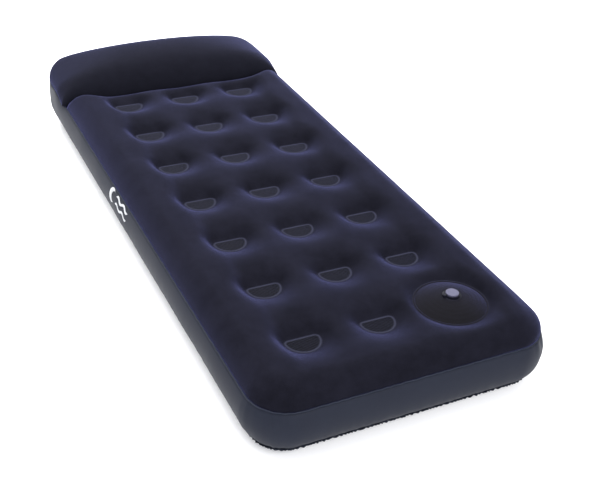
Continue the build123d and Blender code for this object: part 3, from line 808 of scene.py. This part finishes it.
# ---------------------------------------------------------------- bottom sheet
BOTTOM_RING_Z = (LIP_Z, 0.0125, 0.0095, 0.0068, 0.0045, 0.0026, 0.0011, 0.0003, 0.0)
BOTTOM_WELD_LEVELS = (-0.014, -0.005, 0, 0.004, 0.010)
BOTTOM_GRID_INSET = 0.088
BOTTOM_GRID_STEP = 0.012
BOTTOM_RING_GAP = 0.003  # the even fill stays this far inside the flat part's outline
BOTTOM_WELD_GAP = 0.017  # and this far from a line just inside each weld's outline
BOTTOM_WELD_LINE = 0.003

bottom_rings = []
for z in BOTTOM_RING_Z:
    loop = casing_loop(side_inset(z))
    bottom_rings.append(np.column_stack([loop, np.full(len(loop), z)]))
loops = [weld_loop(c, level, 48) for c in WELLS for level in BOTTOM_WELD_LEVELS]
grid = hex_grid(
    HALF_WIDTH - BOTTOM_GRID_INSET,
    -HALF_LENGTH + BOTTOM_GRID_INSET,
    HALF_LENGTH - BOTTOM_GRID_INSET,
    BOTTOM_GRID_STEP,
)
past = np.abs(grid) - (HALF_WIDTH - CORNER, HALF_LENGTH - CORNER)
keep = np.hypot(*np.maximum(past, 0).T) < CORNER - SIDE_RADIUS - BOTTOM_RING_GAP
for centre in WELLS:
    near = weld_distance(grid[:, 0], grid[:, 1], centre)
    keep &= np.abs(near + BOTTOM_WELD_LINE) > BOTTOM_WELD_GAP
bottom = sheet_piece("underside", bottom_rings, loops, grid[keep], bottom_height)


# ---------------------------------------------------------------- foot pump
def lathe(name, profile, steps):
    """A piece turned round the pump's axis from a closed profile of (radius, z) points."""
    turn = 2 * math.pi * np.arange(steps) / steps
    verts, faces = [], []
    for k, (radius, z) in enumerate(profile):
        verts += [(PUMP.x + radius * math.cos(t), PUMP.y + radius * math.sin(t), z) for t in turn]
        faces += quads_between(k * steps, (k + 1) % len(profile) * steps, steps)
    return new_object(name, verts, faces)


def arc_points(radius, z, half_width, half_height, first, last, step):
    """Profile points on an oval about (radius, z), from one angle to another in degrees."""
    swings = [math.radians(degrees) for degrees in range(first, last + 1, step)]
    return [(radius + half_width * math.cos(a), z + half_height * math.sin(a)) for a in swings]


DOME_EDGE = DOME_HIGH.x - PUMP.x + 0.0012  # the skin's edge laps over the CAD dome's
DOME_FOOT_Z = PUMP.z - 0.001
DOME_TOP_Z = DOME_HIGH.z
DOME_HOLE = 0.014
DOME_THICKNESS = 0.0016
DOME_STEPS = 44
COLLAR_RADIUS = 0.0195
RIM_WELD_RADIUS = PUMP_RADIUS + 0.0004
FOAM_RADIUS = (FOAM_HIGH.x - FOAM_LOW.x) / 2
FOAM_EDGE = 0.008
FOAM_WAIST = 0.0015
FOAM_CORE = 0.001
FOAM_STEPS = 12


def dome_profile():
    outer = []
    for k in range(DOME_STEPS + 1):
        share = k / DOME_STEPS
        swell = math.sin(math.pi / 2 * share) ** 0.92
        z = DOME_FOOT_Z + (DOME_TOP_Z - DOME_FOOT_Z) * swell
        z += 0.00025 * math.sin(share * 42) * (1 - share) * min(1, share * 8)
        outer.append((DOME_EDGE + (DOME_HOLE - DOME_EDGE) * share, z))
    return outer + [(r, z - DOME_THICKNESS) for r, z in reversed(outer)]


def foam_profile():
    low, high = FOAM_LOW.z + FOAM_EDGE, FOAM_HIGH.z - FOAM_EDGE
    inner = FOAM_RADIUS - FOAM_EDGE
    side = []
    for k in range(1, FOAM_STEPS):
        share = k / FOAM_STEPS
        side.append((FOAM_RADIUS - FOAM_WAIST * math.sin(math.pi * share), low + (high - low) * share))
    lower = arc_points(inner, low, FOAM_EDGE, FOAM_EDGE, -90, 0, 15)
    upper = arc_points(inner, high, FOAM_EDGE, FOAM_EDGE, 0, 90, 15)
    return [(FOAM_CORE, FOAM_LOW.z), *lower, *side, *upper, (FOAM_CORE, FOAM_HIGH.z)]


collar_profile = arc_points(COLLAR_RADIUS, DOME_TOP_Z - 0.0004, 0.0030, 0.0009, 0, 330, 30)
rim_profile = arc_points(RIM_WELD_RADIUS, PUMP.z, 0.0026, 0.0010, 0, 330, 30)
dome = lathe("pump_dome_skin", dome_profile(), 120)
collar = lathe("pump_seat_collar", collar_profile, 72)
rim = lathe("pump_rim_weld", rim_profile, 120)
foam = lathe("pump_foam_block", foam_profile(), 72)


# ---------------------------------------------------------------- materials
class Nodes:
    """Short ways to add nodes to one material."""

    def __init__(self, name, **surface):
        self.material = bpy.data.materials.new(name)
        self.material.use_nodes = True
        self.tree = self.material.node_tree
        self.shader = self.tree.nodes["Principled BSDF"]
        for socket, value in surface.items():
            self.shader.inputs[socket.replace("_", " ")].default_value = value
        self.place = self.add("ShaderNodeTexCoord").outputs["Object"]

    def add(self, kind, **settings):
        node = self.tree.nodes.new(kind)
        for key, value in settings.items():
            setattr(node, key, value)
        return node

    def link(self, source, target):
        self.tree.links.new(source, target)

    def noise(self, scale, detail=3, roughness=0.55, stretch=None):
        node = self.add("ShaderNodeTexNoise")
        node.inputs["Scale"].default_value = scale
        node.inputs["Detail"].default_value = detail
        node.inputs["Roughness"].default_value = roughness
        source = self.place
        if stretch:
            mapping = self.add("ShaderNodeMapping")
            mapping.inputs["Scale"].default_value = stretch
            self.link(self.place, mapping.inputs["Vector"])
            source = mapping.outputs["Vector"]
        self.link(source, node.inputs["Vector"])
        return node.outputs["Fac"]

    def cells(self, scale, feature):
        node = self.add("ShaderNodeTexVoronoi", feature=feature)
        node.inputs["Scale"].default_value = scale
        self.link(self.place, node.inputs["Vector"])
        return node.outputs["Distance"]

    def attribute(self, name):
        return self.add("ShaderNodeAttribute", attribute_name=name).outputs["Fac"]

    def mix(self, share, first, second):
        node = self.add("ShaderNodeMix", data_type="RGBA")
        for socket, value in ((node.inputs[0], share), (node.inputs[6], first), (node.inputs[7], second)):
            if isinstance(value, bpy.types.NodeSocket):
                self.link(value, socket)
            elif isinstance(value, tuple):
                socket.default_value = (*value, 1)
            else:
                socket.default_value = value
        return node.outputs[2]

    def calc(self, operation, first, second=0.0):
        node = self.add("ShaderNodeMath", operation=operation)
        for socket, value in zip(node.inputs, (first, second)):
            if isinstance(value, bpy.types.NodeSocket):
                self.link(value, socket)
            else:
                socket.default_value = value
        return node.outputs[0]

    def weigh(self, *parts):
        """The sum of (source, weight) parts."""
        total = self.calc("MULTIPLY", *parts[0])
        for source, weight in parts[1:]:
            total = self.calc("ADD", total, self.calc("MULTIPLY", source, weight))
        return total

    def spread(self, source, low, high, to_low=0.0, to_high=1.0):
        node = self.add("ShaderNodeMapRange")
        self.link(source, node.inputs["Value"])
        for socket, value in zip(list(node.inputs)[1:5], (low, high, to_low, to_high)):
            socket.default_value = value
        return node.outputs[0]

    def colour(self, source):
        self.link(source, self.shader.inputs["Base Color"])

    def rough(self, source):
        self.link(source, self.shader.inputs["Roughness"])

    def bump(self, height, distance):
        node = self.add("ShaderNodeBump")
        node.inputs["Distance"].default_value = distance
        node.inputs["Strength"].default_value = 1.0
        self.link(height, node.inputs["Height"])
        self.link(node.outputs["Normal"], self.shader.inputs["Normal"])


PRESSED_COLOUR = (0.0012, 0.0012, 0.0022)
RIB_COLOUR = (0.0085, 0.0088, 0.0135)
# the line round each weld and round the pump takes this light colour: a painted highlight
LINE_HIGHLIGHT_COLOUR = (0.045, 0.047, 0.074)
RIB_SLANT = 0.8
RIB_RATE = 900  # radians per metre


def flock_material(name, deep, worn, marked):
    """Flocked vinyl: short velvet pile, dark and ribbed where it is pressed into a weld, with a painted
    highlight along each weld's outline.
    """
    n = Nodes(
        name,
        Sheen_Weight=1.0,
        Sheen_Roughness=0.335,
        Sheen_Tint=(0.077, 0.083, 0.216, 1),
        Specular_IOR_Level=0.05,
    )
    patches = n.spread(n.noise(9, 4, 0.6), 0.3, 0.7)
    brushed = n.spread(n.noise(38, 3, 0.7), 0.3, 0.7)
    pile = n.spread(n.noise(900, 2, 0.7), 0.3, 0.7)
    colour = n.mix(n.weigh((patches, 0.35), (pile, 0.30), (brushed, 0.35)), deep, worn)
    height = n.weigh((n.noise(1500, 2, 0.8), 0.6), (n.noise(260, 3, 0.6), 0.5))
    if marked:
        facet = n.attribute("facet")
        line = n.attribute("line")
        split = n.add("ShaderNodeSeparateXYZ")
        n.link(n.place, split.inputs[0])
        slant = n.calc("ADD", split.outputs[0], n.calc("MULTIPLY", split.outputs[1], RIB_SLANT))
        ribs = n.calc("SINE", n.calc("MULTIPLY", slant, RIB_RATE))
        ribs = n.calc("MULTIPLY", n.spread(ribs, -1, 1), facet)
        colour = n.mix(n.calc("MULTIPLY", facet, 0.9), colour, PRESSED_COLOUR)
        colour = n.mix(n.calc("MULTIPLY", ribs, 0.11), colour, RIB_COLOUR)
        # painted highlight along the weld and pump outlines
        colour = n.mix(n.calc("MULTIPLY", line, 0.52), colour, LINE_HIGHLIGHT_COLOUR)
        height = n.calc("ADD", height, n.calc("MULTIPLY", ribs, 0.4))
        height = n.calc("ADD", height, n.calc("MULTIPLY", line, 1.2))
        n.rough(n.spread(facet, 0, 1, 0.95, 0.7))
    else:
        n.rough(n.spread(pile, 0, 1, 0.88, 0.98))
    n.colour(colour)
    n.bump(height, 0.0007)
    return n.material


def vinyl_material(name, deep, light, roughness, grain, relief):
    """Smooth supported vinyl: a fine embossed grain, uneven tone and a little scuffing."""
    n = Nodes(name, Specular_IOR_Level=0.10)
    patches = n.spread(n.noise(7, 4, 0.6), 0.3, 0.7)
    scuffs = n.spread(n.noise(60, 5, 0.7, (1, 0.25, 1)), 0.52, 0.75)
    n.colour(n.mix(n.weigh((patches, 0.7), (scuffs, 0.3)), deep, light))
    n.rough(n.calc("ADD", n.calc("MULTIPLY", patches, 0.10), roughness))
    cells = n.calc("MULTIPLY", n.cells(grain, "SMOOTH_F1"), 0.5)
    n.bump(n.calc("ADD", cells, n.noise(grain * 0.4, 3)), relief)
    return n.material


def moulded_material(name, deep, light, roughness, relief=0.00012, gloss=0.5):
    """Injection moulded plastic: fine spark-eroded grain and a slightly uneven gloss."""
    n = Nodes(name, Specular_IOR_Level=gloss)
    tone = n.spread(n.noise(55, 4, 0.6), 0.3, 0.7)
    n.colour(n.mix(tone, deep, light))
    n.rough(n.spread(n.noise(140, 3), 0.3, 0.7, roughness - 0.06, roughness + 0.08))
    n.bump(n.noise(1800, 2, 0.7), relief)
    return n.material


def foam_material(name, wall, face):
    """Open-cell foam. The pores are dented and take the dark colour: painted shade in the pores."""
    n = Nodes(name, Specular_IOR_Level=0.1)
    pores = n.spread(n.cells(420, "F1"), 0.1, 0.6)
    # the first colour, the dark one, is painted shade in the pores
    n.colour(n.mix(pores, wall, face))
    n.rough(n.spread(pores, 0, 1, 0.98, 0.85))
    n.bump(pores, 0.0015)
    return n.material


# name, kind, its two colours, then what else that kind takes
FINISHES = (
    ("flock", flock_material, (0.0027, 0.0027, 0.0046), (0.0088, 0.0088, 0.0150), True),
    ("flock_plain", flock_material, (0.0049, 0.0050, 0.0082), (0.0088, 0.0090, 0.0146), False),
    ("side_vinyl", vinyl_material, (0.0094, 0.0112, 0.0196), (0.0126, 0.0153, 0.0256), 0.48, 900, 0.00010),
    # seam_vinyl is lighter than side_vinyl: painted light on the lip, against the shade under the band's
    # bulge
    ("seam_vinyl", vinyl_material, (0.012, 0.014, 0.022), (0.022, 0.026, 0.040), 0.45, 700, 0.0002),
    # bead_vinyl is a little lighter than side_vinyl: a painted highlight along the top seam
    ("bead_vinyl", vinyl_material, (0.013, 0.016, 0.027), (0.022, 0.026, 0.042), 0.45, 700, 0.0002),
    ("bottom_vinyl", vinyl_material, (0.022, 0.027, 0.042), (0.032, 0.038, 0.058), 0.5, 800, 0.0002),
    ("inner_vinyl", vinyl_material, (0.10, 0.11, 0.13), (0.15, 0.16, 0.18), 0.45, 800, 0.00015),
    ("pump_vinyl", flock_material, (0.0062, 0.0058, 0.0070), (0.0088, 0.0084, 0.0108), False),
    ("pump_moulding", moulded_material, (0.004, 0.004, 0.009), (0.008, 0.008, 0.015), 0.5, 0.00012, 0.12),
    ("pale_plug", moulded_material, (0.072, 0.070, 0.116), (0.090, 0.088, 0.140), 0.5, 0.00012, 0.2),
    ("valve_plastic", moulded_material, (0.014, 0.018, 0.038), (0.022, 0.027, 0.055), 0.38),
    ("soft_seal", moulded_material, (0.035, 0.036, 0.042), (0.055, 0.056, 0.062), 0.62),
    ("print_ink", moulded_material, (0.40, 0.41, 0.43), (0.50, 0.51, 0.53), 0.5, 0.00005),
    # the foam's dark colour is painted shade in its pores
    ("foam", foam_material, (0.10, 0.095, 0.085), (0.42, 0.40, 0.34)),
)
MATERIALS = {name: make(name, *settings) for name, make, *settings in FINISHES}


def dress(piece, material):
    piece.data.materials.clear()
    piece.data.materials.append(MATERIALS[material])


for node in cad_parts.values():
    for material_slot in node.material_slots:
        key = material_slot.material.name.split(".")[0] if material_slot.material else "inner_vinyl"
        material_slot.material = MATERIALS["flock_plain" if key == "flocked_vinyl" else key]
for material_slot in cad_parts["pump_plug_strap"].material_slots:
    material_slot.material = MATERIALS["pump_moulding"]

# ---------------------------------------------------------------- bodies and stand-ins
BAND_NODES = ("side_band_left", "side_band_right", "side_band_head", "side_band_foot")
PLAN = (
    (top, "flock", "flocked_vinyl", ("top_sheet",)),
    (pillow, "flock_plain", "flocked_vinyl", ("pillow_sheet",)),
    (band, "side_vinyl", "side_vinyl", BAND_NODES),
    (lip, "seam_vinyl", "bottom_vinyl", ("bottom_seam",)),
    (bead, "bead_vinyl", "side_vinyl", ("top_seam",)),
    (bottom, "bottom_vinyl", "bottom_vinyl", ("bottom_sheet",)),
    (crease_weld, "flock_plain", "flocked_vinyl", ("pillow_seam",)),
    (rim, "pump_vinyl", "pump_vinyl", ("pump_rim",)),
    (mark, "print_ink", "side_vinyl", ()),
    (foam, "foam", "foam", ("pump_foam",)),
)
for piece, material, slot, nodes in PLAN:
    dress(piece, material)
    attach(piece, "mattress")
    if nodes:
        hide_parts(*nodes)
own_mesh(foam)

dress(dome, "pump_vinyl")
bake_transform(dome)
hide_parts("pump_dome")
dress(collar, "pump_moulding")
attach(collar, "pump_top")

# the sheets are given their thickness on their inner side, and the ink on both
SHEET_THICKNESS = 0.0012
INK_THICKNESS = 0.0004
for piece, thickness, offset in (
    (top, SHEET_THICKNESS, -1),
    (pillow, SHEET_THICKNESS, -1),
    (band, SHEET_THICKNESS, -1),
    (bottom, SHEET_THICKNESS, 1),
    (mark, INK_THICKNESS, 0),
):
    wall = piece.modifiers.new("sheet_thickness", "SOLIDIFY")
    wall.thickness = thickness
    wall.offset = offset

# ---------------------------------------------------------------- floor, lights and camera
scene = bpy.context.scene
FLOOR_HALF = 30
floor_corners = [(x * FLOOR_HALF, y * FLOOR_HALF, 0) for x, y in ((-1, -1), (1, -1), (1, 1), (-1, 1))]
floor = new_object("floor", floor_corners, [(0, 1, 2, 3)], False)
floor_nodes = Nodes(
    "floor",
    Specular_IOR_Level=0.1,
    Roughness=0.9,
    Emission_Color=(0.9, 0.9, 0.92, 1),
    Emission_Strength=0.22,
)
floor_nodes.colour(floor_nodes.mix(floor_nodes.noise(2.0), (0.86, 0.86, 0.87), (0.90, 0.90, 0.91)))
floor.data.materials.append(floor_nodes.material)
floor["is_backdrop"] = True

world = bpy.data.worlds.new("studio")
scene.world = world
world.use_nodes = True
world.node_tree.nodes["Background"].inputs["Color"].default_value = (0.97, 0.98, 1.0, 1)
world.node_tree.nodes["Background"].inputs["Strength"].default_value = 1.12


def soft_light(name, place, target, size, power, colour=(1, 1, 1)):
    data = bpy.data.lights.new(name, "AREA")
    data.shape = "RECTANGLE"
    data.size, data.size_y = size
    data.energy = power
    data.color = colour
    light = bpy.data.objects.new(name, data)
    light.location = place
    light.rotation_mode = "QUATERNION"
    light.rotation_quaternion = (Vector(target) - Vector(place)).to_track_quat("-Z", "Y")
    scene.collection.objects.link(light)


soft_light("key", (-0.7, 0.7, 3.2), (0, 0, 0.1), (3.0, 3.0), 125)
soft_light("back", (0.8, 3.6, 2.6), (0, 0.2, 0.1), (3.5, 2.0), 165, (0.96, 0.98, 1.0))
soft_light("front", (0.3, -3.6, 2.4), (0, -0.3, 0.1), (3.0, 2.0), 95)

CAMERA_PLACE = (-0.986, -2.247, 1.498)
CAMERA_YAW = math.radians(27.05)
CAMERA_PITCH = math.radians(32.66)
CAMERA_ROLL = math.radians(3.34)
camera_data = bpy.data.cameras.new("camera")
camera_data.sensor_width = 36
camera_data.lens = 59.3
camera = bpy.data.objects.new("camera", camera_data)
scene.collection.objects.link(camera)
level = math.cos(CAMERA_PITCH)
forward = Vector((math.sin(CAMERA_YAW) * level, math.cos(CAMERA_YAW) * level, -math.sin(CAMERA_PITCH)))
right = Vector((math.cos(CAMERA_YAW), -math.sin(CAMERA_YAW), 0))
up = right.cross(forward)
rolled_right = math.cos(CAMERA_ROLL) * right + math.sin(CAMERA_ROLL) * up
rolled_up = -math.sin(CAMERA_ROLL) * right + math.cos(CAMERA_ROLL) * up
turn = Matrix((rolled_right, rolled_up, -forward)).transposed()
camera.matrix_world = Matrix.Translation(CAMERA_PLACE) @ turn.to_4x4()
scene.camera = camera
scene.view_settings.view_transform = "Standard"

low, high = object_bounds()
